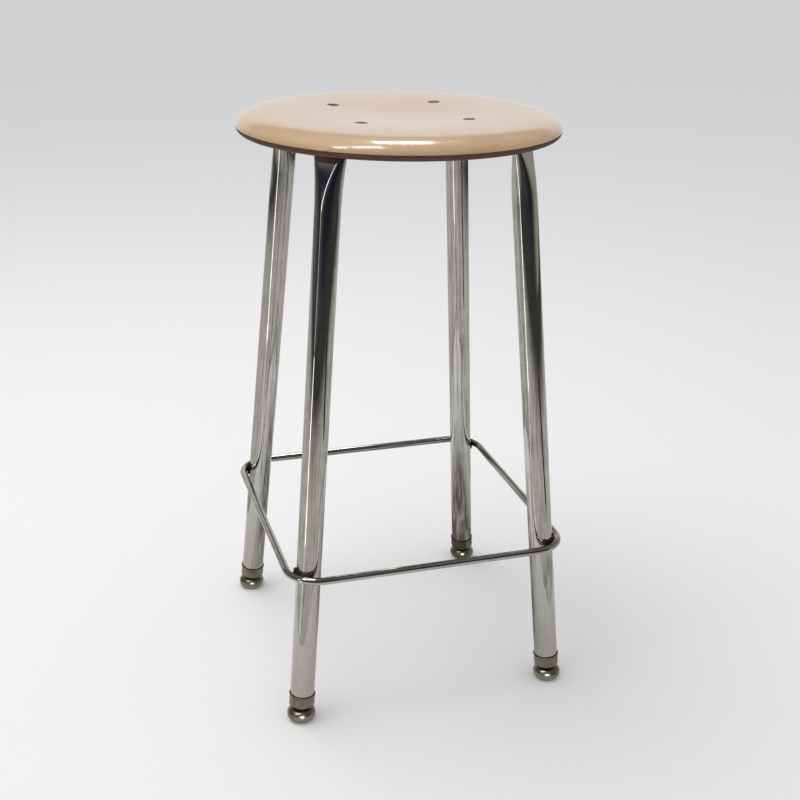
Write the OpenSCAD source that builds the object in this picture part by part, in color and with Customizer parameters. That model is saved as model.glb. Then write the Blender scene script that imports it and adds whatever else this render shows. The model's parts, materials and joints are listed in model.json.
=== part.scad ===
// Fixed-height laboratory stool: a round moulded seat on four splayed tube legs,
// held together by a bent-rod footrest, and standing on four swivel glides.
// Millimetres. +Z is up, the origin is on the floor under the middle of the seat,
// and -Y is the front. Each leg stands on a diagonal of the seat.

/* [Seat] */
// Height of the highest ring of the seat above the floor
seat_h = 610; // [450:1:760]
// Outer diameter of the seat
seat_d = 330; // [324:1:380]
// Diameter of the ring where the dish ends and the rounded edge begins
crest_d = 224; // [200:1:240]
// Depth of the dish in the middle of the seat
dish_depth = 4; // [0:0.5:5]
// Height of the rounded upper edge, down to the line where the two colours meet
edge_drop = 13; // [12:0.5:16]
// Height of the dark rim under that line
rim_h = 6.5; // [5:0.5:9]
// Distance from the crest to the underside of the upper shell in the middle
shell_depth = 11; // [9:0.5:11]
// Thickness of the dark backing sheet
backing_t = 2; // [1:0.5:3]

/* [Legs] */
// Outer diameter of the leg tube
tube_d = 25.4; // [22:0.1:28]
// Wall thickness of the leg tube
tube_wall = 1.2; // [1:0.1:2]
// Lean of each leg away from the vertical, in degrees
splay = 6.3; // [4:0.1:8]
// Distance from the middle of the stool to a leg's axis, where its bend begins
leg_top_r = 135.7; // [130:0.1:139]
// Thickness of the pressed flat end that is bolted to the seat
tab_t = 3.2; // [2.8:0.1:4]
// Half thickness of the tube where its bend begins
bend_half_t = 5; // [4:0.1:7]
// Radius of the bend, on the middle of the tube
bend_r = 12; // [11:0.5:14]
// Length of tube over which it changes from round to flattened, more and more steeply
flatten_len = 54; // [45:1:70]

/* [Seat bolts] */
// Side of the square on which the four bolts lie
bolt_pitch = 110; // [100:1:116]
// Diameter of a bolt's shank
bolt_d = 6; // [5:0.5:6]
// Diameter of a bolt's domed head
head_d = 12.4; // [11:0.1:14]
// Height of a bolt's domed head
head_h = 2.2; // [1.8:0.1:3]

/* [Footrest] */
// Height of the footrest rod's middle above the floor
ring_h = 168; // [120:1:220]
// Diameter of the footrest rod
rod_d = 7.9; // [6:0.1:9.5]
// Radius of the rod's bend at each corner, on its middle
ring_corner_r = 33.5; // [25:0.5:45]

/* [Feet] */
// Thickness of the wall of the ferrule on the end of a leg
ferrule_wall = 0.65; // [0.5:0.05:1.2]
// Length of the ferrule
ferrule_h = 14; // [12:0.5:20]
// Outer diameter of a glide
glide_d = 30; // [29:0.5:31]
// Height of a glide's ball centre above the floor
ball_h = 7; // [6.8:0.1:7.2]
// Diameter of the ball on the glide's stem
ball_d = 11; // [10.8:0.1:11.2]

/* [Hidden] */
$fn = 96;

// Directions of the four legs, turned about +Z from +X
BACK_RIGHT = 45;
BACK_LEFT = 135;
FRONT_LEFT = 225;
FRONT_RIGHT = 315;
CORNERS = [BACK_RIGHT, BACK_LEFT, FRONT_LEFT, FRONT_RIGHT];

// Length by which a cutting shape passes the face that it cuts
past = 1;

// Seat
seat_r = seat_d / 2;
crest_r = crest_d / 2;
edge_z = seat_h - edge_drop;
rim_bottom_z = edge_z - rim_h;
rim_inset = 6;
rim_w = 15;
rim_inner_r = seat_r - rim_w;
lap_w = 2;
lap_r = rim_inner_r + lap_w;
shell_under_z = seat_h - shell_depth;
recess_z = shell_under_z - backing_t;
profile_steps = 16;
bolt_r = bolt_pitch / sqrt(2);
bolt_hole_gap = 0.3;
bolt_hole_r = bolt_d / 2 + bolt_hole_gap;
head_gap = 0.25;
head_sink = 0.2;
head_z = seat_h - head_h - head_sink;
neck_side = bolt_d;
neck_h = 3;
washer_r = 6.5;
washer_t = 1.2;
nut_flats = 10;
nut_h = 5;
thread_gap = 0.05;
thread_past_nut = 2;
tab_bottom_z = recess_z - tab_t;
nut_bottom_z = tab_bottom_z - washer_t - nut_h;

// Legs: distances along a leg's axis are counted from the ball centre
tube_r = tube_d / 2;
bore_r = tube_r - tube_wall;
tab_half_t = tab_t / 2;
tab_mid_z = recess_z - tab_half_t;
bend_angle = 90 - splay;
bend_start = (tab_mid_z - ball_h - bend_r * (1 - sin(splay))) / cos(splay);
flat_start = bend_start - flatten_len;
foot_r = leg_top_r + bend_start * sin(splay);
bend_end_x = -bend_r * (1 - cos(bend_angle));
bend_end_r = leg_top_r - bend_r * cos(splay);
tab_end_r = tab_half_t + (PI / 2) * (tube_r - tab_half_t);
tab_len = bend_end_r - bolt_r;
section_points = 32;
transition_steps = 9;
bend_steps = 8;
tip_steps = 5;
tip_cut = 0.97;
// The pressed end starts this far inside the tube's skin and this far below its end,
// in the part of the tube that has no bore
skin_inset = 0.3;
end_lap = 1;
end_wall = 3;

// Feet, measured from the ball centre
ball_r = ball_d / 2;
neck_r = 3;
flange_r = 5;
flange_t = 0.8;
ferrule_bottom = 9.5;
ferrule_floor = 1.5;
ferrule_corner = 2.5;
ferrule_gap = 0.05;
stem_r = 3.95;
stem_len = 24;
plug_len = 18;
fit_gap = 0.05;
tube_start = ferrule_bottom + ferrule_floor;
glide_nose_r = ball_h;
glide_nose_x = glide_d / 2 - glide_nose_r;
glide_bore_r = 8;
glide_mouth_r = 6.4;
mouth_angle = acos((glide_mouth_r - glide_nose_x) / glide_nose_r);
base_lift = 0.2;
nose_angle = -asin((ball_h - base_lift) / glide_nose_r);
nose_steps = 20;
sole_t = 1.2;
sole_gap = 0.5;
liner_bottom = sole_t + sole_gap - ball_h;
liner_top = 3.3;
lip_gap = 0.3;
lip_under = liner_top + lip_gap;

// Footrest
rod_r = rod_d / 2;
leg_r_at_ring = foot_r - (ring_h - ball_h) * tan(splay);
ring_reach = leg_r_at_ring + (tube_r + rod_r) / cos(splay);
ring_corner_mid = round(100 * (ring_reach - ring_corner_r) / sqrt(2)) / 100;
weld_r = 3;
weld_side = 5;
weld_inset = 0.6;

// Height of the seat's upper face at a radius inside the crest: a shallow smooth dish
function dish_z(r) = seat_h - dish_depth * pow(1 - pow(r / crest_r, 2), 2);

// Height of the rounded edge: level at the crest and upright at the outer radius
function shoulder_z(t) = seat_h - edge_drop * (1 - sqrt(1 - pow(t, 4)));

// The upper face's outline, from the axis to the outer radius
upper_outline = concat(
  [for (i = [0:profile_steps]) let (r = crest_r * i / profile_steps) [r, dish_z(r)]],
  [for (i = [1:profile_steps]) let (t = sin(90 * i / profile_steps))
    [crest_r + (seat_r - crest_r) * t, shoulder_z(t)]]
);

// The dark rim's outline: a quarter of an ellipse from the bottom face out to the colour line
rim_outline = [for (i = [0:profile_steps]) let (a = 90 * i / profile_steps)
  [seat_r - rim_inset + rim_inset * sin(a), edge_z - rim_h * cos(a)]];

// Half thickness of the tube, from 0 where it is round to 1 where the bend begins
function pressed_half_t(t) = tube_r - (tube_r - bend_half_t) * t * t;

// Half thickness around the bend, from 0 at its start to 1 at the flat end
function bent_half_t(t) = bend_half_t + (tab_half_t - bend_half_t) * sin(90 * t);

// Half width of a pressed tube that keeps the length of its wall
function half_width(half_t) = half_t + (PI / 2) * (tube_r - half_t);

// One cross-section: a flat oval, half_t thick, half_w wide, turned by tilt in the leg's plane
function oval(x, z, tilt, half_t, half_w) = [
  for (i = [0:section_points - 1])
    let (a = (i + 0.5) * 360 / section_points)
    let (u = half_t * cos(a))
    let (v = (half_w - half_t) * sign(sin(a)) + half_t * sin(a))
    [x + u * cos(tilt), v, z + u * sin(tilt)]
];

// Cross-sections of the flattened and bent end, in the leg's own frame:
// +Z along the straight tube, +X away from the middle of the stool
straight_ovals = [for (i = [0:transition_steps])
  let (t = i / transition_steps)
  let (half_t = pressed_half_t(t))
  let (inset = skin_inset * (1 - t))
  let (along = flat_start - end_lap + (flatten_len + end_lap) * t)
  oval(0, along, 0, half_t - inset, half_width(half_t) - inset)];

bend_ovals = [for (i = [1:bend_steps])
  let (t = i / bend_steps)
  let (a = bend_angle * t)
  let (half_t = bent_half_t(t))
  oval(-bend_r * (1 - cos(a)), bend_start + bend_r * sin(a), a, half_t, half_width(half_t))];

// The rounded tip of the flat end
tip_ovals = [for (i = [0:tip_steps])
  let (s = tip_cut * i / tip_steps)
  let (along = tab_len + tab_end_r * s)
  let (w = max(tab_half_t, tab_end_r * sqrt(1 - s * s)))
  oval(
    bend_end_x - along * sin(bend_angle),
    bend_start + bend_r * sin(bend_angle) + along * cos(bend_angle),
    bend_angle, tab_half_t, w)];

end_ovals = concat(straight_ovals, bend_ovals, tip_ovals);

// A closed solid through a list of cross-sections with the same number of points
module loft(sections) {
  n = len(sections[0]);
  rows = len(sections);
  points = [for (s = sections) for (p = s) p];
  sides = [for (k = [0:rows - 2]) for (i = [0:n - 1])
    let (j = (i + 1) % n)
    each [
      [k * n + i, (k + 1) * n + i, (k + 1) * n + j],
      [k * n + i, (k + 1) * n + j, k * n + j]
    ]];
  first = [for (i = [0:n - 1]) i];
  last = [for (i = [n - 1:-1:0]) (rows - 1) * n + i];
  polyhedron(points, concat([first, last], sides), convexity = 4);
}

// Places children at a glide's ball centre, with +X pointing away from the stool
module at_foot(corner) {
  rotate([0, 0, corner]) translate([foot_r, 0, ball_h]) children();
}

// The same, but with +Z along the leg's axis
module on_leg(corner) {
  at_foot(corner) rotate([0, -splay, 0]) children();
}

// Places children at each of the four seat bolts
module at_bolts() {
  for (corner = CORNERS) rotate([0, 0, corner]) translate([bolt_r, 0, 0]) children();
}

module bolt_holes(low_z, high_z) {
  at_bolts() translate([0, 0, low_z]) cylinder(r = bolt_hole_r, h = high_z - low_z);
}

// The pale upper shell of the seat
module seat_top() {
  color("burlywood") difference() {
    rotate_extrude() polygon(concat(
      upper_outline,
      [[lap_r, edge_z], [lap_r, shell_under_z], [0, shell_under_z]]
    ));
    bolt_holes(shell_under_z - past, seat_h);
    at_bolts() translate([0, 0, head_z]) cylinder(r = head_d / 2 + head_gap, h = head_h + 2 * past);
    at_bolts() translate([-neck_side / 2 - head_gap, -neck_side / 2 - head_gap, head_z - neck_h])
      cube([neck_side + 2 * head_gap, neck_side + 2 * head_gap, neck_h + past]);
  }
}

// The dark backing: a sheet under the shell with a deeper rim around it
module seat_backing() {
  color("saddlebrown") difference() {
    rotate_extrude() polygon(concat(
      [[0, shell_under_z], [0, recess_z], [rim_inner_r, recess_z], [rim_inner_r, rim_bottom_z]],
      rim_outline,
      [[lap_r, edge_z], [lap_r, shell_under_z]]
    ));
    bolt_holes(recess_z - past, shell_under_z + past);
  }
}

// Four round-headed bolts with a square neck, through the seat and the legs' flat ends
module seat_bolts() {
  head_sphere_r = (pow(head_d / 2, 2) + head_h * head_h) / (2 * head_h);
  bolt_end_z = nut_bottom_z - thread_past_nut;
  color("dimgray") at_bolts() union() {
    intersection() {
      translate([0, 0, head_z + head_h - head_sphere_r]) sphere(r = head_sphere_r);
      translate([0, 0, head_z]) cylinder(r = head_d / 2 + past, h = head_h + past);
    }
    translate([-neck_side / 2, -neck_side / 2, head_z - neck_h])
      cube([neck_side, neck_side, neck_h]);
    translate([0, 0, bolt_end_z]) cylinder(r = bolt_d / 2, h = head_z - bolt_end_z);
  }
}

module seat_washers() {
  color("silver") at_bolts() translate([0, 0, tab_bottom_z - washer_t]) difference() {
    cylinder(r = washer_r, h = washer_t);
    translate([0, 0, -past]) cylinder(r = bolt_hole_r, h = washer_t + 2 * past);
  }
}

module seat_nuts() {
  color("silver") at_bolts() translate([0, 0, nut_bottom_z]) difference() {
    cylinder(r = nut_flats / sqrt(3), h = nut_h, $fn = 6);
    translate([0, 0, -past]) cylinder(r = bolt_d / 2 + thread_gap, h = nut_h + 2 * past);
  }
}

// A leg: a straight tube whose top is pressed flat, bent inwards and drilled
module leg(corner) {
  color("gainsboro") difference() {
    on_leg(corner) union() {
      difference() {
        translate([0, 0, tube_start]) cylinder(r = tube_r, h = flat_start - tube_start);
        translate([0, 0, tube_start - past])
          cylinder(r = bore_r, h = flat_start - end_wall - tube_start + past);
      }
      loft(end_ovals);
    }
    rotate([0, 0, corner]) translate([bolt_r, 0, tab_bottom_z - past])
      cylinder(r = bolt_hole_r, h = tab_t + 2 * past);
  }
}

// The footrest: one rod bent into a square with round corners, outside the legs
module footrest_ring() {
  color("lightslategray") translate([0, 0, ring_h]) union()
    for (turn = [0:90:270]) rotate([0, 0, turn]) {
      translate([ring_corner_mid, ring_corner_mid, 0])
        rotate_extrude(angle = 90) translate([ring_corner_r, 0]) circle(r = rod_r);
      translate([ring_corner_mid + ring_corner_r, 0, 0]) rotate([90, 0, 0])
        cylinder(r = rod_r, h = 2 * ring_corner_mid, center = true);
    }
}

// Weld beads on both sides of the point where the rod touches each leg
module footrest_welds() {
  color("darkslategray") for (corner = CORNERS) rotate([0, 0, corner])
    for (side = [-1, 1])
      translate([ring_reach - rod_r - weld_inset, side * weld_side, ring_h])
        sphere(r = weld_r);
}

// The cup on a leg's lower end, with a rounded lower edge and a hole for the stem
module ferrule(corner) {
  inner_r = tube_r + ferrule_gap;
  outer_r = inner_r + ferrule_wall;
  color("darkkhaki") on_leg(corner) translate([0, 0, ferrule_bottom]) difference() {
    rotate_extrude() polygon(concat(
      [[0, 0]],
      [for (a = [-90:15:0])
        [outer_r - ferrule_corner + ferrule_corner * cos(a), ferrule_corner + ferrule_corner * sin(a)]],
      [[outer_r, ferrule_h], [0, ferrule_h]]
    ));
    translate([0, 0, ferrule_floor]) cylinder(r = inner_r, h = ferrule_h);
    translate([0, 0, -past]) cylinder(r = stem_r + fit_gap, h = ferrule_floor + 2 * past);
  }
}

// The plug pressed into a leg's lower end, which grips the stem
module foot_plug(corner) {
  color("gray") on_leg(corner) translate([0, 0, tube_start]) difference() {
    cylinder(r = bore_r - fit_gap, h = plug_len);
    translate([0, 0, -past]) cylinder(r = stem_r + fit_gap, h = plug_len + 2 * past);
  }
}

// The stem: a ball, a neck, a flange that meets the ferrule, and a shank in the plug
module glide_stem(corner) {
  color("darkgray") on_leg(corner) union() {
    sphere(r = ball_r);
    cylinder(r = neck_r, h = ferrule_bottom);
    translate([0, 0, ferrule_bottom - flange_t]) cylinder(r = flange_r, h = flange_t);
    translate([0, 0, ferrule_bottom - flange_t]) cylinder(r = stem_r, h = stem_len);
  }
}

// The liner that holds the ball inside the glide, and tilts with it
module glide_liner(corner) {
  color("ivory") at_foot(corner) difference() {
    translate([0, 0, liner_bottom]) cylinder(r = glide_bore_r - fit_gap, h = liner_top - liner_bottom);
    sphere(r = ball_r + fit_gap);
  }
}

// The round-sided metal base that stands on the floor and turns about its liner
module glide_base(corner) {
  color("olivedrab") at_foot(corner) difference() {
    rotate_extrude() polygon(concat(
      [[0, base_lift - ball_h]],
      [for (i = [0:nose_steps])
        let (a = nose_angle + (mouth_angle - nose_angle) * i / nose_steps)
        [glide_nose_x + glide_nose_r * cos(a), glide_nose_r * sin(a)]],
      [[0, glide_nose_r * sin(mouth_angle)]]
    ));
    translate([0, 0, -ball_h - past]) cylinder(r = glide_bore_r, h = ball_h + past + lip_under);
    cylinder(r = glide_mouth_r, h = glide_nose_r + past);
  }
}

// The disc that closes the underside of a glide
module glide_sole(corner) {
  color("slategray") at_foot(corner) translate([0, 0, -ball_h])
    cylinder(r = glide_bore_r, h = sole_t);
}

seat_top();
seat_backing();
seat_bolts();
seat_washers();
seat_nuts();
leg(FRONT_LEFT);  // leg_front_left
leg(FRONT_RIGHT);  // leg_front_right
leg(BACK_LEFT);  // leg_back_left
leg(BACK_RIGHT);  // leg_back_right
footrest_ring();
footrest_welds();
ferrule(FRONT_LEFT);  // ferrule_front_left
ferrule(FRONT_RIGHT);  // ferrule_front_right
ferrule(BACK_LEFT);  // ferrule_back_left
ferrule(BACK_RIGHT);  // ferrule_back_right
foot_plug(FRONT_LEFT);  // foot_plug_front_left
foot_plug(FRONT_RIGHT);  // foot_plug_front_right
foot_plug(BACK_LEFT);  // foot_plug_back_left
foot_plug(BACK_RIGHT);  // foot_plug_back_right
glide_stem(FRONT_LEFT);  // glide_stem_front_left
glide_stem(FRONT_RIGHT);  // glide_stem_front_right
glide_stem(BACK_LEFT);  // glide_stem_back_left
glide_stem(BACK_RIGHT);  // glide_stem_back_right
glide_liner(FRONT_LEFT);  // glide_liner_front_left
glide_liner(FRONT_RIGHT);  // glide_liner_front_right
glide_liner(BACK_LEFT);  // glide_liner_back_left
glide_liner(BACK_RIGHT);  // glide_liner_back_right
glide_base(FRONT_LEFT);  // glide_base_front_left
glide_base(FRONT_RIGHT);  // glide_base_front_right
glide_base(BACK_LEFT);  // glide_base_back_left
glide_base(BACK_RIGHT);  // glide_base_back_right
glide_sole(FRONT_LEFT);  // glide_sole_front_left
glide_sole(FRONT_RIGHT);  // glide_sole_front_right
glide_sole(BACK_LEFT);  // glide_sole_back_left
glide_sole(BACK_RIGHT);  // glide_sole_back_right
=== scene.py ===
import json
import math

import bmesh
import bpy
from mathutils import Matrix, Vector, noise

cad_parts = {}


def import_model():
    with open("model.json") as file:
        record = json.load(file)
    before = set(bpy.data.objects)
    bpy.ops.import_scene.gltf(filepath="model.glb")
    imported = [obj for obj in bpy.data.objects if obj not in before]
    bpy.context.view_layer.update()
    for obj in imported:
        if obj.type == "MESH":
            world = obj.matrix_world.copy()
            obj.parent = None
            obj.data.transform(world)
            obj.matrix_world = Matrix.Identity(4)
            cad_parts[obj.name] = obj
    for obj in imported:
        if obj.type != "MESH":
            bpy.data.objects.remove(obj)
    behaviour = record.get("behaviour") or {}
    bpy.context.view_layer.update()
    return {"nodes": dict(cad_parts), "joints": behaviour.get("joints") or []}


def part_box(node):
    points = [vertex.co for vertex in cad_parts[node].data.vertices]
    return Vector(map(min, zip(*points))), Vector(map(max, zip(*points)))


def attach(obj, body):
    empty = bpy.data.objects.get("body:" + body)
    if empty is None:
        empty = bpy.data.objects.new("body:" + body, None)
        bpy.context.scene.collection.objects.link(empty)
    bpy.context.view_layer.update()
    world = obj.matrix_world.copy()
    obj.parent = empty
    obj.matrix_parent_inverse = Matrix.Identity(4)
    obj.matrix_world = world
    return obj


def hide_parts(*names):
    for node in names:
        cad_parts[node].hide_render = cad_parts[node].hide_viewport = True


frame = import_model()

MM = 0.001


# ---------------------------------------------------------------- sizes

JOINTS = {joint["name"]: joint for joint in frame["joints"]}
CORNERS = ("front_left", "front_right", "back_left", "back_right")

# Seat
SEAT_LOW, SEAT_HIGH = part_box("seat_top")
SEAT_R = SEAT_HIGH.x
CREST_Z = SEAT_HIGH.z
EDGE_Z = SEAT_LOW.z
CREST_R = 112 * MM
DISH_DEPTH = 4 * MM
RIM_BOTTOM_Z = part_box("seat_backing")[0].z
RIM_INSET = 6 * MM
RIM_W = 15 * MM
RIM_INNER_R = SEAT_R - RIM_W
LAP_R = RIM_INNER_R + 2 * MM
SHELL_UNDER_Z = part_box("seat_backing")[1].z
BACKING_T = 2 * MM
RECESS_Z = SHELL_UNDER_Z - BACKING_T
RECESS_FILLET = 2 * MM
RIM_CHAMFER = 0.5 * MM

# Bolts
BOLT_LOW, BOLT_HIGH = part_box("seat_bolts")
HEAD_R = 6.2 * MM
HEAD_GAP = 0.25 * MM
HEAD_H = 2.2 * MM
HEAD_LIP = 0.15 * MM
BOLT_AT = BOLT_HIGH.x - HEAD_R
SHANK_R = 3 * MM
SHANK_CHAMFER = 0.6 * MM
BOLT_HOLE_R = 3.3 * MM

# Legs
SPLAY = math.radians(6.3)
TUBE_R = 12.7 * MM
TUBE_START = 11 * MM
FLATTEN_LEN = 54 * MM
BEND_HALF_T = 5 * MM
BEND_R = 12 * MM
TAB_HALF_T = 1.6 * MM
BALL_H = JOINTS["tilt_front_left"]["pos_m"][2]
FOOT_R = math.hypot(*JOINTS["tilt_front_left"]["pos_m"][:2])
BEND_START = (RECESS_Z - TAB_HALF_T - BALL_H - BEND_R * (1 - math.sin(SPLAY))) / math.cos(SPLAY)
BEND_ANGLE = math.pi / 2 - SPLAY
HOLE_BELOW, HOLE_ABOVE = 9 * MM, 5 * MM

# Footrest
RING_LOW, RING_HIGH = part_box("footrest_ring")
ROD_R = (RING_HIGH.z - RING_LOW.z) / 2
RING_Z = (RING_HIGH.z + RING_LOW.z) / 2
RING_HALF = RING_HIGH.x - ROD_R
RING_CORNER_R = 33.5 * MM
RING_CORNER_MID = (RING_HALF - RING_CORNER_R) * math.sqrt(2)

# Feet
CUP_LIFT = 9.5 * MM


# ---------------------------------------------------------------- mesh helpers

def finish_mesh(name, bm, sharp_deg=30):
    """Turns a bmesh into an object, smooth but for edges sharper than the given angle."""
    bmesh.ops.recalc_face_normals(bm, faces=bm.faces)
    mesh = bpy.data.meshes.new(name)
    bm.to_mesh(mesh)
    bm.free()
    mesh.shade_smooth()
    mesh.set_sharp_from_angle(angle=math.radians(sharp_deg))
    piece = bpy.data.objects.new(name, mesh)
    bpy.context.scene.collection.objects.link(piece)
    return piece


def add_rings(bm, rings, closed):
    """Joins rows of points with quads. A row of one point becomes a fan. UVs are metres."""
    uv = bm.loops.layers.uv.verify()
    rows = [[bm.verts.new(point) for point in ring] for ring in rings]
    if closed:
        rows.append(rows[0])
    count = max(len(row) for row in rows)
    along = 0.0
    for low, high in zip(rows, rows[1:]):
        widest = max(low, high, key=len)
        step = (widest[1].co - widest[0].co).length
        gap = (high[0].co - low[0].co).length
        for i in range(count):
            corners, places = [], []
            for row, column, distance in ((low, i, 0), (low, i + 1, 0), (high, i + 1, gap), (high, i, gap)):
                vertex = row[column % count] if len(row) > 1 else row[0]
                if vertex not in corners:
                    corners.append(vertex)
                    places.append((column * step, along + distance))
            face = bm.faces.new(corners)
            for loop, place in zip(face.loops, places):
                loop[uv].uv = place
        along += gap
    return rows


def lathe_rings(profile, segments):
    """Rows of points for a profile of (radius, height) turned about +Z. On the axis a row is one point."""
    turns = [2 * math.pi * i / segments for i in range(segments)]
    rings = []
    for radius, height in profile:
        angles = turns if radius > 0 else [0]
        rings.append([Vector((radius * math.cos(a), radius * math.sin(a), height)) for a in angles])
    return rings


def lathe(name, profile, segments, place=Matrix.Identity(4), closed=False, sharp_deg=35):
    """A turned piece. The profile runs from axis to axis, or is a closed loop off the axis."""
    bm = bmesh.new()
    add_rings(bm, lathe_rings(profile, segments), closed)
    bmesh.ops.transform(bm, matrix=place, verts=bm.verts)
    return finish_mesh(name, bm, sharp_deg)


def around(radius, degrees, height):
    """A point at a distance and direction from the middle of the stool, the direction from +X."""
    a = math.radians(degrees)
    return (radius * math.cos(a), radius * math.sin(a), height)


def arc(centre, radius, start_deg, end_deg, steps):
    """Points (x, z) along an arc."""
    angles = [math.radians(start_deg + (end_deg - start_deg) * i / steps) for i in range(steps + 1)]
    return [(centre[0] + radius * math.cos(a), centre[1] + radius * math.sin(a)) for a in angles]


def cut_holes(piece, drills):
    """Cuts cylinders, each (x, y, low z, high z, radius), out of a piece."""
    bm = bmesh.new()
    for x, y, low, high, radius in drills:
        place = Matrix.Translation((x, y, (low + high) / 2))
        bmesh.ops.create_cone(bm, cap_ends=True, segments=48, radius1=radius, radius2=radius,
                              depth=high - low, matrix=place)
    cutter = finish_mesh("drills", bm)
    cut = piece.modifiers.new("holes", "BOOLEAN")
    cut.object = cutter
    cut.solver = "EXACT"
    depsgraph = bpy.context.evaluated_depsgraph_get()
    mesh = bpy.data.meshes.new_from_object(piece.evaluated_get(depsgraph))
    piece.modifiers.clear()
    piece.data = mesh
    mesh.set_sharp_from_angle(angle=math.radians(30))
    bpy.data.objects.remove(cutter)


def corner_angle(corner):
    """The direction of a corner's leg, from +X."""
    x, y, _ = JOINTS["tilt_" + corner]["pos_m"]
    return math.atan2(y, x)


def at_foot(corner):
    """The glide's ball centre, with +X pointing away from the stool."""
    turn = Matrix.Rotation(corner_angle(corner), 4, "Z")
    return Matrix.Translation(JOINTS["tilt_" + corner]["pos_m"]) @ turn


def on_leg(corner):
    """The same, with +Z along the leg."""
    return at_foot(corner) @ Matrix.Rotation(-SPLAY, 4, "Y")


def bolt_places():
    return [(x, y) for x in (-BOLT_AT, BOLT_AT) for y in (-BOLT_AT, BOLT_AT)]


# ---------------------------------------------------------------- material helpers

class Shader:
    """A Principled material and short names for the nodes that these finishes use."""

    def __init__(self, name):
        self.material = bpy.data.materials.new(name)
        self.material.use_nodes = True
        self.tree = self.material.node_tree
        self.surface = self.tree.nodes["Principled BSDF"]
        self.where = self.tree.nodes.new("ShaderNodeTexCoord")

    def link(self, source, target):
        self.tree.links.new(source, target)

    def set(self, **values):
        for name, value in values.items():
            self.surface.inputs[name.replace("_", " ")].default_value = value

    def mapped(self, kind="Object", scale=(1, 1, 1)):
        node = self.tree.nodes.new("ShaderNodeMapping")
        node.inputs["Scale"].default_value = scale
        self.link(self.where.outputs[kind], node.inputs["Vector"])
        return node.outputs["Vector"]

    def noise(self, vector, scale, detail=3, rough=0.55):
        node = self.tree.nodes.new("ShaderNodeTexNoise")
        node.inputs["Scale"].default_value = scale
        node.inputs["Detail"].default_value = detail
        node.inputs["Roughness"].default_value = rough
        self.link(vector, node.inputs["Vector"])
        return node.outputs["Fac"]

    def spots(self, vector, scale):
        node = self.tree.nodes.new("ShaderNodeTexVoronoi")
        node.inputs["Scale"].default_value = scale
        self.link(vector, node.inputs["Vector"])
        return node.outputs["Distance"]

    def ramp(self, value, low, high, to_low=0.0, to_high=1.0):
        node = self.tree.nodes.new("ShaderNodeMapRange")
        node.interpolation_type = "SMOOTHSTEP"
        limits = (("From Min", low), ("From Max", high), ("To Min", to_low), ("To Max", to_high))
        for name, number in limits:
            node.inputs[name].default_value = number
        self.link(value, node.inputs["Value"])
        return node.outputs["Result"]

    def maths(self, operation, first, second):
        node = self.tree.nodes.new("ShaderNodeMath")
        node.operation = operation
        for slot, value in zip(node.inputs, (first, second)):
            if isinstance(value, (int, float)):
                slot.default_value = value
            else:
                self.link(value, slot)
        return node.outputs[0]

    def mix(self, factor, first, second, blend="MIX"):
        node = self.tree.nodes.new("ShaderNodeMix")
        node.data_type = "RGBA"
        node.blend_type = blend
        self.link(factor, node.inputs[0])
        for slot, value in zip((node.inputs[6], node.inputs[7]), (first, second)):
            if isinstance(value, tuple):
                slot.default_value = (*value, 1)
            else:
                self.link(value, slot)
        return node.outputs[2]

    def along(self, axis="Z"):
        """Where the surface is along an axis. Along Z it is the height."""
        node = self.tree.nodes.new("ShaderNodeSeparateXYZ")
        self.link(self.where.outputs["Object"], node.inputs[0])
        return node.outputs[axis]

    def distance(self, x, y):
        """How far the surface is from an upright line at x, y."""
        aside = self.maths("SUBTRACT", self.along("X"), x)
        behind = self.maths("SUBTRACT", self.along("Y"), y)
        squares = [self.maths("MULTIPLY", side, side) for side in (aside, behind)]
        return self.maths("SQRT", self.maths("ADD", *squares), 0)

    def bump(self, value, strength, distance):
        node = self.tree.nodes.new("ShaderNodeBump")
        node.inputs["Strength"].default_value = strength
        node.inputs["Distance"].default_value = distance
        self.link(value, node.inputs["Height"])
        self.link(node.outputs["Normal"], self.surface.inputs["Normal"])


# ---------------------------------------------------------------- finishes

def seat_lacquer():
    """Pale beige moulding under clear lacquer: faint mottling, fine specks, hairline scratches."""
    s = Shader("seat_lacquer")
    beige, pale_beige = (0.50, 0.335, 0.195), (0.545, 0.370, 0.221)
    speck_brown, worn_red = (0.38, 0.235, 0.135), (0.36, 0.17, 0.09)
    place = s.mapped()
    mottle = s.noise(place, 9, 4)
    specks = s.noise(place, 900, 2)
    colour = s.mix(s.ramp(mottle, 0.35, 0.65), beige, pale_beige)
    colour = s.mix(s.ramp(specks, 0.62, 0.74, 0, 0.22), colour, speck_brown)
    # Worn places just above the colour line
    near_line = s.ramp(s.along(), EDGE_Z, EDGE_Z + 5 * MM, 1, 0)
    rubbed = s.maths("MULTIPLY", near_line, s.ramp(s.noise(place, 26, 4), 0.56, 0.66))
    colour = s.mix(s.maths("MULTIPLY", rubbed, 0.6), colour, worn_red)
    s.link(colour, s.surface.inputs["Base Color"])
    smear = s.ramp(s.noise(place, 14, 5, 0.6), 0.3, 0.7, 0.30, 0.38)
    scratches = s.ramp(s.noise(s.mapped(scale=(6, 60, 20)), 16, 3), 0.64, 0.70, 0, 0.12)
    s.link(s.maths("ADD", smear, scratches), s.surface.inputs["Roughness"])
    s.set(Coat_Weight=1.0, Coat_Roughness=0.105, Specular_IOR_Level=0.15, IOR=1.5)
    s.bump(s.noise(place, 30, 2), 0.02, 0.2 * MM)
    return s.material


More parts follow.
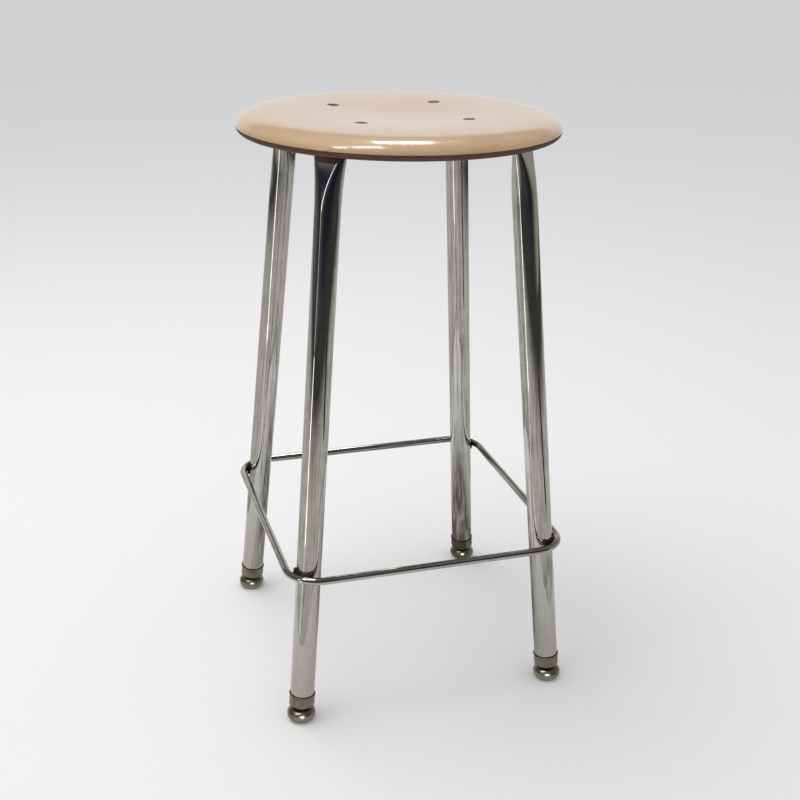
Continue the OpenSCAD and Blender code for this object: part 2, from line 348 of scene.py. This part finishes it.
def seat_brown():
    """The dark layer: fibres run round the rim, with paler scuffs."""
    s = Shader("seat_brown")
    dark_brown, brown, scuffed = (0.060, 0.028, 0.018), (0.120, 0.062, 0.040), (0.22, 0.12, 0.07)
    fibres = s.noise(s.mapped(scale=(12, 12, 260)), 9, 4)
    colour = s.mix(s.ramp(fibres, 0.3, 0.7), dark_brown, brown)
    scuffs = s.ramp(s.noise(s.mapped(), 55, 5, 0.7), 0.60, 0.68, 0, 0.3)
    colour = s.mix(scuffs, colour, scuffed)
    s.link(colour, s.surface.inputs["Base Color"])
    s.link(s.ramp(fibres, 0.2, 0.8, 0.45, 0.62), s.surface.inputs["Roughness"])
    s.set(Specular_IOR_Level=0.2)
    s.bump(fibres, 0.25, 0.3 * MM)
    return s.material


PIT_RUST = (0.09, 0.075, 0.055)


def metal(name, pale, dark, rough, stain=0.35, pits=0.0, streaks=(1, 1, 1), kind="Object", bump=0.04,
          tarnish=None):
    """Plated metal: stains, brushed streaks along one direction, pits, and tarnish near the floor.

    With kind "UV" the finish lies on the UVs, which are metres, so that streaks can run along a tube.
    """
    s = Shader(name)
    place = s.mapped(kind)
    clouds = s.noise(place, 38, 5, 0.62)
    lines = s.noise(s.mapped(kind, streaks), 120, 3, 0.6)
    if tarnish:
        # The streaks make the upper end of the tarnish uneven
        unevenness = s.maths("MULTIPLY", s.maths("SUBTRACT", lines, 0.5), 0.2)
        level = s.maths("ADD", s.along(), unevenness)
        pale = s.mix(s.ramp(level, 0.02, 0.24, 0.7, 0), pale, tarnish)
    colour = s.mix(s.ramp(clouds, 0.42, 0.72, 0, stain), pale, dark)
    colour = s.mix(s.ramp(lines, 0.45, 0.75, 0, 0.6), colour, dark)
    worn = s.ramp(clouds, 0.4, 0.7, 0, 0.6)
    relief = s.maths("ADD", worn, s.maths("MULTIPLY", lines, 0.4))
    roughness = s.ramp(relief, 0.1, 0.8, *rough)
    if pits:
        hole = s.ramp(s.spots(place, 330), 0.06, 0.16, pits, 0)
        patch = s.ramp(s.noise(place, 21, 3), 0.52, 0.66)
        hole = s.maths("MULTIPLY", hole, patch)
        colour = s.mix(hole, colour, PIT_RUST)
        roughness = s.maths("ADD", roughness, s.maths("MULTIPLY", hole, 0.4))
    s.link(colour, s.surface.inputs["Base Color"])
    s.link(roughness, s.surface.inputs["Roughness"])
    s.set(Metallic=1.0)
    s.bump(relief, bump, 0.2 * MM)
    return s.material


def nylon():
    """Natural nylon, slightly yellowed."""
    s = Shader("liner_nylon")
    cream, yellowed = (0.72, 0.70, 0.62), (0.62, 0.58, 0.47)
    cloud = s.noise(s.mapped(), 120, 3)
    s.link(s.mix(cloud, cream, yellowed), s.surface.inputs["Base Color"])
    s.link(s.ramp(cloud, 0.3, 0.7, 0.42, 0.55), s.surface.inputs["Roughness"])
    s.bump(cloud, 0.1, 0.2 * MM)
    return s.material


LACQUER = seat_lacquer()
BROWN = seat_brown()
BOLT_METAL = metal("bolt_metal", (0.20, 0.175, 0.15), (0.08, 0.062, 0.05), (0.52, 0.64), stain=0.7)
PLATED = metal("plated_steel", (0.60, 0.60, 0.58), (0.35, 0.33, 0.29), (0.25, 0.45))
LEG_CHROME = metal("leg_chrome", (0.59, 0.58, 0.555), (0.29, 0.28, 0.245), (0.03, 0.10), stain=0.3,
                   pits=0.6, streaks=(6, 0.1, 1), kind="UV", tarnish=(0.37, 0.35, 0.295))
ROD_CHROME = metal("rod_chrome", (0.50, 0.485, 0.455), (0.26, 0.235, 0.20), (0.07, 0.17), stain=0.5,
                   pits=0.4, streaks=(4, 0.15, 1), kind="UV", bump=0.05)
# Near-black weld metal: partly the weld's own colour, and partly painted shade and painted reflection of
# the rod round each joint
WELD_AND_SHADE = metal("weld_and_painted_shade", (0.075, 0.062, 0.052), (0.025, 0.020, 0.017), (0.45, 0.65), stain=0.8, bump=0.4)
FERRULE = metal("ferrule_nickel", (0.225, 0.215, 0.16), (0.10, 0.09, 0.06), (0.32, 0.5), stain=0.8,
                streaks=(0.3, 4, 1), kind="UV", bump=0.1)
GLIDE = metal("glide_nickel", (0.28, 0.26, 0.21), (0.09, 0.08, 0.058), (0.27, 0.40), stain=0.7,
              pits=0.3, streaks=(0.2, 4, 1), kind="UV", bump=0.05)
NYLON = nylon()


def place_piece(piece, material, body, slot, *nodes):
    """Gives a new piece its finish and its body, and hides the CAD nodes that it stands for."""
    piece.data.materials.clear()
    piece.data.materials.append(material)
    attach(piece, body)
    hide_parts(*nodes)


# ---------------------------------------------------------------- seat

SEAT_SEGMENTS = 256


def dish_z(radius):
    return CREST_Z - DISH_DEPTH * (1 - (radius / CREST_R) ** 2) ** 2


def shoulder(steps):
    """The rounded edge: level at the crest and upright at the outer radius."""
    points = []
    for i in range(1, steps + 1):
        t = math.sin(math.pi / 2 * i / steps)
        drop = 1 - math.sqrt(max(0.0, 1 - t ** 4))
        points.append((CREST_R + (SEAT_R - CREST_R) * t, CREST_Z - (CREST_Z - EDGE_Z) * drop))
    return points


def seat_shell():
    steps = 44
    dish = [(CREST_R * i / steps, dish_z(CREST_R * i / steps)) for i in range(steps + 1)]
    under = [(LAP_R, EDGE_Z), (LAP_R, SHELL_UNDER_Z), (0, SHELL_UNDER_Z)]
    shell = lathe("seat_shell", dish + shoulder(48) + under, SEAT_SEGMENTS, sharp_deg=40)
    head_floor = BOLT_HIGH.z - HEAD_H
    drills = [(x, y, head_floor, CREST_Z + HEAD_H, HEAD_R + HEAD_GAP) for x, y in bolt_places()]
    cut_holes(shell, drills)
    place_piece(shell, LACQUER, "frame", "seat_shell", "seat_top")


def seat_underside():
    outer = arc((0, 0), 1, -90, 0, 20)
    rim = [(SEAT_R - RIM_INSET + RIM_INSET * x, EDGE_Z + (EDGE_Z - RIM_BOTTOM_Z) * z) for x, z in outer]
    fillet_r = RIM_INNER_R - RECESS_FILLET
    profile = [(0, RECESS_Z), (fillet_r, RECESS_Z)]
    profile += arc((fillet_r, RECESS_Z - RECESS_FILLET), RECESS_FILLET, 90, 0, 6)[1:]
    profile += [(RIM_INNER_R, RIM_BOTTOM_Z + RIM_CHAMFER), (RIM_INNER_R + RIM_CHAMFER, RIM_BOTTOM_Z)]
    profile += rim + [(LAP_R, EDGE_Z), (LAP_R, SHELL_UNDER_Z), (0, SHELL_UNDER_Z)]
    backing = lathe("seat_underside", profile, SEAT_SEGMENTS, sharp_deg=40)
    place_piece(backing, BROWN, "frame", "seat_underside", "seat_backing")


def seat_bolts():
    """Domed heads on shanks that reach through the nuts."""
    dome_r = (HEAD_R ** 2 + HEAD_H ** 2) / (2 * HEAD_H)
    reach = math.degrees(math.asin(HEAD_R / dome_r))
    top, end = BOLT_HIGH.z, BOLT_LOW.z
    head_z = top - HEAD_H
    # The dome stops a little short of its full reach, where the lip begins
    dome = arc((0, top - dome_r), dome_r, 90, 90 - 0.97 * reach, 14)
    profile = [(0, top)] + dome[1:] + [(HEAD_R, head_z + HEAD_LIP), (HEAD_R, head_z), (SHANK_R, head_z)]
    profile += [(SHANK_R, end + SHANK_CHAMFER), (SHANK_R - SHANK_CHAMFER, end), (0, end)]
    bm = bmesh.new()
    for x, y in bolt_places():
        rings = lathe_rings(profile, 48)
        add_rings(bm, [[point + Vector((x, y, 0)) for point in ring] for ring in rings], closed=False)
    bolts = finish_mesh("bolt_heads", bm, sharp_deg=35)
    place_piece(bolts, BOLT_METAL, "frame", "bolt_heads", "seat_bolts")


seat_shell()
seat_underside()
seat_bolts()


# ---------------------------------------------------------------- legs

SECTION_POINTS = 96


def oval(x, z, tilt, half_t, half_w):
    """A flat oval of half thickness half_t and half width half_w, with evenly spread points.

    It lies across the leg at x, z, and tilts with it about Y.
    """
    straight = half_w - half_t
    quarter = straight + math.pi / 2 * half_t
    points = []
    for i in range(SECTION_POINTS):
        along = 4 * quarter * i / SECTION_POINTS
        side, rest = divmod(along, 2 * quarter)
        mirrored = rest > quarter
        rest = 2 * quarter - rest if mirrored else rest
        if rest <= straight:
            u, v = half_t, rest
        else:
            a = (rest - straight) / half_t
            u, v = half_t * math.cos(a), straight + half_t * math.sin(a)
        u = -u if mirrored else u
        if side:
            u, v = -u, -v
        points.append(Vector((x + u * math.cos(tilt), v, z + u * math.sin(tilt))))
    return points


def half_width(half_t):
    """How wide the tube gets when it is pressed to a half thickness, with its outline as long as before."""
    return half_t + math.pi / 2 * (TUBE_R - half_t)


def leg_sections():
    """Ovals from the foot up the tube, round the bend and out to the rounded tip of the flat end."""
    tube_steps, flatten_steps, bend_steps, tab_steps = 24, 40, 24, 12
    sections = []
    flat_start = BEND_START - FLATTEN_LEN
    for i in range(tube_steps + 1):
        z = TUBE_START + (flat_start - TUBE_START) * i / tube_steps
        sections.append(oval(0, z, 0, TUBE_R, TUBE_R))
    for i in range(1, flatten_steps + 1):
        t = i / flatten_steps
        half_t = TUBE_R - (TUBE_R - BEND_HALF_T) * t * t
        sections.append(oval(0, flat_start + FLATTEN_LEN * t, 0, half_t, half_width(half_t)))
    for i in range(1, bend_steps + 1):
        t = i / bend_steps
        a = BEND_ANGLE * t
        half_t = BEND_HALF_T + (TAB_HALF_T - BEND_HALF_T) * math.sin(math.pi / 2 * t)
        x = -BEND_R * (1 - math.cos(a))
        z = BEND_START + BEND_R * math.sin(a)
        sections.append(oval(x, z, a, half_t, half_width(half_t)))
    leg_top_r = FOOT_R - BEND_START * math.sin(SPLAY)
    tab_len = leg_top_r - BEND_R * math.cos(SPLAY) - BOLT_AT * math.sqrt(2)
    tip_r = half_width(TAB_HALF_T)
    end_x = -BEND_R * (1 - math.cos(BEND_ANGLE))
    end_z = BEND_START + BEND_R * math.sin(BEND_ANGLE)
    # Half of the steps lead along the tab, and half round its tip, which stops just short of closing
    for i in range(1, tab_steps + 1):
        t = 0.99 * i / tab_steps
        along = tab_len * min(1, 2 * i / tab_steps) + tip_r * max(0.0, math.sin(math.pi * (t - 0.5)))
        reach = max(0.0, along - tab_len)
        half_w = max(TAB_HALF_T * 1.01, math.sqrt(max(0.0, tip_r ** 2 - reach ** 2)))
        x = end_x - along * math.sin(BEND_ANGLE)
        z = end_z + along * math.cos(BEND_ANGLE)
        sections.append(oval(x, z, BEND_ANGLE, TAB_HALF_T, half_w))
    return sections


def legs():
    sections = leg_sections()
    for corner in CORNERS:
        bm = bmesh.new()
        rows = add_rings(bm, sections, closed=False)
        bm.faces.new(rows[0])
        bm.faces.new(rows[-1])
        bmesh.ops.transform(bm, matrix=on_leg(corner), verts=bm.verts)
        leg = finish_mesh("leg_tube_" + corner, bm, sharp_deg=50)
        low, high = RECESS_Z - HOLE_BELOW, RECESS_Z + HOLE_ABOVE
        cut_holes(leg, [(x, y, low, high, BOLT_HOLE_R) for x, y in bolt_places()])
        place_piece(leg, LEG_CHROME, "frame", "leg_chrome", "leg_" + corner)


legs()


# ---------------------------------------------------------------- footrest

def rod_ring(centre, outward, segments=32):
    """A round section at a point of the rod, in the plane of outward and +Z."""
    turns = [2 * math.pi * i / segments for i in range(segments)]
    return [centre + outward * (ROD_R * math.cos(a)) + Vector((0, 0, ROD_R * math.sin(a))) for a in turns]


def footrest():
    steps = 24
    rings = []
    for quarter in range(4):
        centre = Vector(around(RING_CORNER_MID, 45 + 90 * quarter, RING_Z))
        for i in range(steps + 1):
            outward = Vector(around(1, 90 * quarter + 90 * i / steps, 0))
            rings.append(rod_ring(centre + outward * RING_CORNER_R, outward))
    bm = bmesh.new()
    add_rings(bm, rings, closed=True)
    ring = finish_mesh("footrest_rod", bm, sharp_deg=60)
    place_piece(ring, ROD_CHROME, "frame", "footrest_chrome", "footrest_ring")


# Two rows of lumps on each side of a weld, as (rise, radius, lift off the leg): a full row in the crevice,
# and a thinner one that climbs the tube. Both are weld and also painted shade: the climbing row draws a
# dark band of painted shade and reflection
WELD_ROWS = ((2.7 * MM, 1.9 * MM, 0.5 * MM), (5.2 * MM, 1.5 * MM, 0.1 * MM))
WELD_REACH = 7
WELD_STEP = 1.4 * MM


def weld_row(bm, turn, height, size, lift):
    """A row of lumps across a leg, each wide enough to bridge the gap between leg and rod."""
    leg_r = FOOT_R - (height - BALL_H) * math.tan(SPLAY)
    for k in range(-WELD_REACH, WELD_REACH + 1):
        across = k * WELD_STEP
        leg_face = leg_r + math.sqrt(TUBE_R ** 2 - across ** 2) / math.cos(SPLAY)
        rod_face = RING_CORNER_MID + math.sqrt(RING_CORNER_R ** 2 - across ** 2) - ROD_R
        gap = max(0.0, rod_face - leg_face)
        place = turn @ Matrix.Translation((leg_face + gap / 2 + lift, across, height))
        lump = noise.noise(place.translation * 400)
        radius = max(size * (1 - 0.03 * abs(k)), 0.6 * gap) * (1 + 0.2 * lump)
        bmesh.ops.create_icosphere(bm, subdivisions=3, radius=radius, matrix=place)


def weld_beads_and_shade():
    """Dark, lumpy beads in the crevices above and below the line where the rod meets each leg: partly weld,
    partly painted shade and painted reflection of the rod.
    """
    bm = bmesh.new()
    for corner in CORNERS:
        turn = Matrix.Rotation(corner_angle(corner), 4, "Z")
        for side in (-1, 1):
            for rise, size, lift in WELD_ROWS:
                weld_row(bm, turn, RING_Z + side * rise, size, lift)
    beads = finish_mesh("weld_beads_and_shade", bm, sharp_deg=80)
    remesh = beads.modifiers.new("melted", "REMESH")
    remesh.mode = "VOXEL"
    remesh.voxel_size = 0.35 * MM
    remesh.use_smooth_shade = True
    soften = beads.modifiers.new("soften", "SMOOTH")
    soften.iterations = 3
    depsgraph = bpy.context.evaluated_depsgraph_get()
    melted = bpy.data.meshes.new_from_object(beads.evaluated_get(depsgraph))
    beads.modifiers.clear()
    beads.data = melted
    place_piece(beads, WELD_AND_SHADE, "frame", "weld", "footrest_welds")


footrest()
weld_beads_and_shade()


# ---------------------------------------------------------------- feet

def ferrule_profile():
    """The cup on the end of a leg, with a lip that flares away from the tube, as a closed loop."""
    outer, inner, floor_t = 13.4 * MM, 12.75 * MM, 1.5 * MM
    hole, height, corner = 4 * MM, 14 * MM, 2.5 * MM
    flare, flare_h, lip = 0.5 * MM, 1.6 * MM, 0.2 * MM
    points = [(hole, 0)] + arc((outer - corner, corner), corner, -90, 0, 10)
    points += [(outer, height - flare_h), (outer + flare / 3, height - flare_h / 2)]
    points += arc((outer + flare - lip, height - lip), lip, 0, 90, 4)
    points += arc((inner + flare + lip, height - lip), lip, 90, 180, 4)
    points += [(inner + flare / 3, height - flare_h / 2), (inner, height - flare_h)]
    return points + [(inner, floor_t), (hole, floor_t)]


def stem_profile():
    """Ball, neck, flange and shank, from the bottom of the ball up."""
    ball, neck, shank = 5.5 * MM, 3 * MM, 3.95 * MM
    flange, flange_low, flange_high = 5 * MM, 8.7 * MM, 9.5 * MM
    end = 32.7 * MM
    reach = math.degrees(math.acos(neck / ball))
    points = [(0, -ball)] + arc((0, 0), ball, -85, reach, 20)
    points += [(neck, flange_low), (flange, flange_low), (flange, flange_high)]
    return points + [(shank, flange_high), (shank, end), (0, end)]


def base_profile():
    """The round-sided glide: a nose arc on the outside and a mouth at the top, as a closed loop."""
    nose_r, nose_x = BALL_H, 8 * MM
    bore, mouth, lip_under, lift, edge = 8 * MM, 6.4 * MM, 3.6 * MM, 0.2 * MM, 0.25 * MM
    start = -math.degrees(math.asin((BALL_H - lift) / nose_r))
    end = math.degrees(math.acos((mouth + edge - nose_x) / nose_r))
    points = [(bore, lift - BALL_H)] + arc((nose_x, 0), nose_r, start, end, 36)
    top = points[-1][1]
    points += arc((mouth + edge, top - edge), edge, 90, 180, 4)[1:]
    return points + [(mouth, lip_under), (bore, lip_under)]


def sole_profile():
    """The disc that closes the glide's underside, bevelled where it meets the floor."""
    radius, bevel, top = 7.95 * MM, 0.35 * MM, 1.2 * MM - BALL_H
    return [(0, -BALL_H), (radius - bevel, -BALL_H), (radius, bevel - BALL_H), (radius, top), (0, top)]


def feet():
    cup, stem, base, sole = ferrule_profile(), stem_profile(), base_profile(), sole_profile()
    for corner in CORNERS:
        glide = "glide_" + corner
        leg_end = on_leg(corner)
        cup_place = leg_end @ Matrix.Translation((0, 0, CUP_LIFT))
        ferrule = lathe("ferrule_cup_" + corner, cup, 96, cup_place, closed=True)
        place_piece(ferrule, FERRULE, "frame", "ferrule_nickel", "ferrule_" + corner)
        pin = lathe("ball_stem_" + corner, stem, 48, leg_end)
        place_piece(pin, PLATED, "frame", "plated_hardware", "glide_stem_" + corner)
        foot = lathe("glide_shell_" + corner, base, 96, at_foot(corner), closed=True)
        place_piece(foot, GLIDE, glide, "glide_steel", "glide_base_" + corner)
        disc = lathe("glide_disc_" + corner, sole, 64, at_foot(corner))
        place_piece(disc, GLIDE, glide, "glide_steel", "glide_sole_" + corner)


feet()


# ---------------------------------------------------------------- CAD nodes that stay

def keep_cad(node, material):
    mesh = frame["nodes"][node].data
    mesh.materials.clear()
    mesh.materials.append(material)


keep_cad("seat_washers", PLATED)
keep_cad("seat_nuts", PLATED)
for corner in CORNERS:
    keep_cad("foot_plug_" + corner, PLATED)
    keep_cad("glide_liner_" + corner, NYLON)


# ---------------------------------------------------------------- stage: floor, room, lights, camera

FLOOR_RADIUS = 14


def floor():
    s = Shader("floor")
    pale_grey, paler_grey = (0.83, 0.828, 0.825), (0.86, 0.858, 0.855)
    grain = s.noise(s.mapped(), 140, 3)
    s.link(s.mix(grain, pale_grey, paler_grey), s.surface.inputs["Base Color"])
    s.link(s.ramp(grain, 0.3, 0.7, 0.8, 0.9), s.surface.inputs["Roughness"])
    s.set(Specular_IOR_Level=0.0)
    bm = bmesh.new()
    bmesh.ops.create_circle(bm, cap_ends=True, segments=128, radius=FLOOR_RADIUS)
    plane = finish_mesh("floor", bm)
    plane.data.materials.append(s.material)


def only_reflected(board):
    """Only shiny surfaces see the board. The camera doesn't, and it gives no soft light or shadow."""
    for rays in ("camera", "diffuse", "shadow", "transmission", "volume_scatter"):
        setattr(board, "visible_" + rays, False)


class Glow(Shader):
    """A material that only shines."""

    def __init__(self, name, strength=1.0):
        super().__init__(name)
        self.tree.nodes.remove(self.surface)
        self.light = self.tree.nodes.new("ShaderNodeEmission")
        self.light.inputs["Strength"].default_value = strength
        self.link(self.light.outputs[0], self.tree.nodes["Material Output"].inputs["Surface"])


# What a shiny leg mirrors in each direction from +X: a bright wall behind the stool, a dark
# room in front of it, and greyer walls at the sides
WALL_TONES = (
    (-180, (0.045, 0.046, 0.052)),
    (-168, (0.022, 0.022, 0.032)),
    (-160, (0.050, 0.050, 0.060)),
    (-148, (0.080, 0.080, 0.090)),
    (-128, (0.020, 0.020, 0.034)),
    (-60, (0.013, 0.014, 0.023)),
    (-42, (0.050, 0.048, 0.040)),
    (-24, (0.30, 0.295, 0.255)),
    (22, (0.38, 0.375, 0.33)),
    (46, (0.80, 0.80, 0.80)),
    (112, (0.80, 0.80, 0.80)),
    (126, (0.34, 0.34, 0.34)),
    (139, (0.045, 0.045, 0.045)),
    (147, (0.20, 0.20, 0.19)),
    (166, (0.070, 0.070, 0.072)),
)
WALL_RADIUS = 3.2
WALL_TOP = 3.0
COVING = 0.3
FLOOR_START = 0.42
FLOOR_STAIN = (0.13, 0.125, 0.105)
ROOM_FLOOR_Z = 3 * MM


def wall_tones(s):
    """The tone of the wall in each direction from the middle of the room."""
    turn = s.maths("DIVIDE", s.maths("ARCTAN2", s.along("Y"), s.along("X")), 2 * math.pi)
    tones = s.tree.nodes.new("ShaderNodeValToRGB")
    stops = tones.color_ramp.elements
    stops.remove(stops[1])
    for k, (degrees, colour) in enumerate(WALL_TONES):
        stop = stops[0] if k == 0 else stops.new(degrees / 360 + 0.5)
        stop.position = degrees / 360 + 0.5
        stop.color = (*colour, 1)
    s.link(s.maths("ADD", turn, 0.5), tones.inputs[0])
    return tones.outputs[0]


def room():
    """The room that the chrome mirrors: a floor that is bright round the stool, walls and a ceiling."""
    s = Glow("room")
    dim_wall, wall_foot = (0.19, 0.188, 0.18), (0.035, 0.034, 0.030)
    bright_floor, dark_floor = (0.62, 0.61, 0.58), (0.050, 0.048, 0.045)
    z = s.along()
    # The walls are dim above head height, and never quite dark near the floor
    walls = s.mix(s.ramp(z, 1.6, 2.1), wall_tones(s), dim_wall)
    walls = s.mix(s.ramp(z, 0.05, 0.4, 1, 0), walls, wall_foot, "ADD")
    # The bright part of the floor lies round and behind the stool
    ground = s.mix(s.ramp(s.distance(-0.1, 0.6), 1.4, 2.6), bright_floor, dark_floor)
    stains = s.ramp(s.noise(s.mapped(), 6, 5, 0.62), 0.50, 0.64, 0, 0.6)
    ground = s.mix(stains, ground, FLOOR_STAIN)
    above_floor = s.ramp(z, 1.2 * ROOM_FLOOR_Z, 3 * ROOM_FLOOR_Z)
    s.link(s.mix(above_floor, ground, walls), s.light.inputs["Color"])
    profile = [(FLOOR_START, ROOM_FLOOR_Z), (WALL_RADIUS - COVING, ROOM_FLOOR_Z)]
    profile += [(WALL_RADIUS, 4 * ROOM_FLOOR_Z), (WALL_RADIUS, WALL_TOP), (0, WALL_TOP)]
    shell = lathe("room", profile, 64)
    shell.data.materials.append(s.material)
    only_reflected(shell)


def floor_reflection_shade_and_stains():
    """Painted reflection of the floor under the stool and behind it: the tone of the shaded floor there,
    with dark blotches that thicken towards the middle.
    """
    s = Glow("floor_reflection_shade_and_stains")
    shaded_floor_tone = (0.64, 0.635, 0.625)
    x, y, radius = 0.10, 0.09, 0.27
    blotches = s.ramp(s.noise(s.mapped(), 16, 4, 0.6), 0.34, 0.56)
    fade = s.ramp(s.distance(x, y), 0.4 * radius, 0.95 * radius, 0.9, 0)
    # Painted shade and stains, seen only in reflections: the shaded floor's tone, blotched more towards the
    # middle
    s.link(s.mix(s.maths("MULTIPLY", blotches, fade), shaded_floor_tone, FLOOR_STAIN), s.light.inputs["Color"])
    bm = bmesh.new()
    middle = Matrix.Translation((x, y, ROOM_FLOOR_Z))
    bmesh.ops.create_circle(bm, cap_ends=True, segments=48, radius=radius, matrix=middle)
    place = finish_mesh("floor_reflection_shade_and_stains", bm)
    place.data.materials.append(s.material)
    only_reflected(place)


def lit_board(name, strength, *corners):
    """A board that shines, between corners of (radius, direction, height)."""
    s = Glow(name, strength)
    dull, bright = (0.78, 0.775, 0.76), (1, 0.99, 0.97)
    band = s.ramp(s.noise(s.mapped(), 5, 2), 0.3, 0.7)
    s.link(s.mix(band, dull, bright), s.light.inputs["Color"])
    bm = bmesh.new()
    bm.faces.new([bm.verts.new(around(*corner)) for corner in corners])
    board = finish_mesh(name, bm)
    board.data.materials.append(s.material)
    only_reflected(board)


def boards():
    """The lamps and bright gaps whose reflections draw the streaks on the seat, legs and feet."""
    low, wall, ceiling, rafters = 3 * ROOM_FLOOR_Z, 2.7, 2.9, 2.3
    # A lamp overhead, behind the stool
    lit_board("back_lamp", 16, (0.7, 88, rafters), (0.83, 71, rafters), (0.92, 57, rafters),
              (1.69, 65.5, rafters), (1.62, 72, rafters), (1.45, 79.5, rafters))
    # A tall bright gap at the left, along the floor and up the wall
    lit_board("gap_near", 1.2, (0.42, -152, low), (0.42, -145, low), (0.8, -145, low), (0.8, -151, low))
    lit_board("gap_floor", 3.2, (0.8, -149.5, low), (0.8, -144, low),
              (2.6, -151.5, low), (2.6, -155.5, low))
    lit_board("gap_low", 0.9, (2.65, -156, 2 * low), (2.65, -152, 2 * low),
              (wall, -159, 0.55), (wall, -163, 0.55))
    lit_board("gap_wall", 2.8, (wall, -161.5, 0.56), (wall, -157.5, 0.56),
              (wall, -158, 1.9), (wall, -162, 1.9))
    # Two lamps overhead at the left
    lit_board("ceiling_lamp_far", 16, (1.8, -169, ceiling), (2.85, -156, ceiling),
              (2.05, -151, ceiling), (1.0, -173, ceiling))
    lit_board("ceiling_lamp_near", 16, (0.75, 175, ceiling), (1.5, -151, ceiling), (1.05, -145, ceiling),
              (0.65, -131, ceiling), (0.35, 120, ceiling), (0.47, 159, ceiling))
    # A dark strip on the floor, in front at the right
    lit_board("dark_strip", 0.02, (0.8, -46, low), (0.8, -35, low), (1.75, -50, low), (1.75, -61, low))


def area_light(name, size, size_y, power, place, aim, colour, receivers=()):
    """A soft lamp. One that lights only a few pieces is also mirrored in them."""
    lamp = bpy.data.lights.new(name, "AREA")
    lamp.shape = "RECTANGLE"
    lamp.size, lamp.size_y, lamp.energy, lamp.color = size, size_y, power, colour
    light = bpy.data.objects.new(name, lamp)
    light.location = place
    light.rotation_euler = (Vector(aim) - Vector(place)).to_track_quat("-Z", "Y").to_euler()
    light.visible_glossy = bool(receivers)
    bpy.context.scene.collection.objects.link(light)
    if receivers:
        lit = bpy.data.collections.new(name + "_lights")
        for piece in receivers:
            lit.objects.link(piece)
        light.light_linking.receiver_collection = lit


def lamps():
    """A wide lamp overhead, and a small one in front that lights only the glides."""
    area_light("key", size=1.8, size_y=1.2, power=21, place=(-0.6, 0.3, 2.2), aim=(0, 0, 0.2),
               colour=(1, 0.985, 0.96))
    glides = [bpy.data.objects["glide_shell_" + corner] for corner in CORNERS]
    area_light("foot_lamp", size=0.35, size_y=0.3, power=26, place=(-0.33, -1.87, 0.5), aim=(0, 0, 0),
               colour=(1, 0.99, 0.97), receivers=glides)


def world():
    sky = bpy.data.worlds.new("studio")
    bpy.context.scene.world = sky
    sky.use_nodes = True
    back = sky.node_tree.nodes["Background"]
    back.inputs["Color"].default_value = (0.93, 0.935, 0.955, 1)
    back.inputs["Strength"].default_value = 0.80


def camera():
    """At the angle of the reference view."""
    yaw, pitch, roll = -0.3055, 0.3897, 0.0194
    place = Matrix.Translation((-0.3725, -1.2019, 0.8111))
    lens = bpy.data.cameras.new("camera")
    lens.lens = 55.3
    lens.sensor_width = 36
    view = bpy.data.objects.new("camera", lens)
    aim = Matrix.Rotation(yaw, 4, "Z") @ Matrix.Rotation(math.pi / 2 - pitch, 4, "X")
    view.matrix_world = place @ aim @ Matrix.Rotation(roll, 4, "Z")
    bpy.context.scene.collection.objects.link(view)
    bpy.context.scene.camera = view


floor()
room()
floor_reflection_shade_and_stains()
boards()
world()
lamps()
camera()
bpy.context.scene.view_settings.view_transform = "Standard"
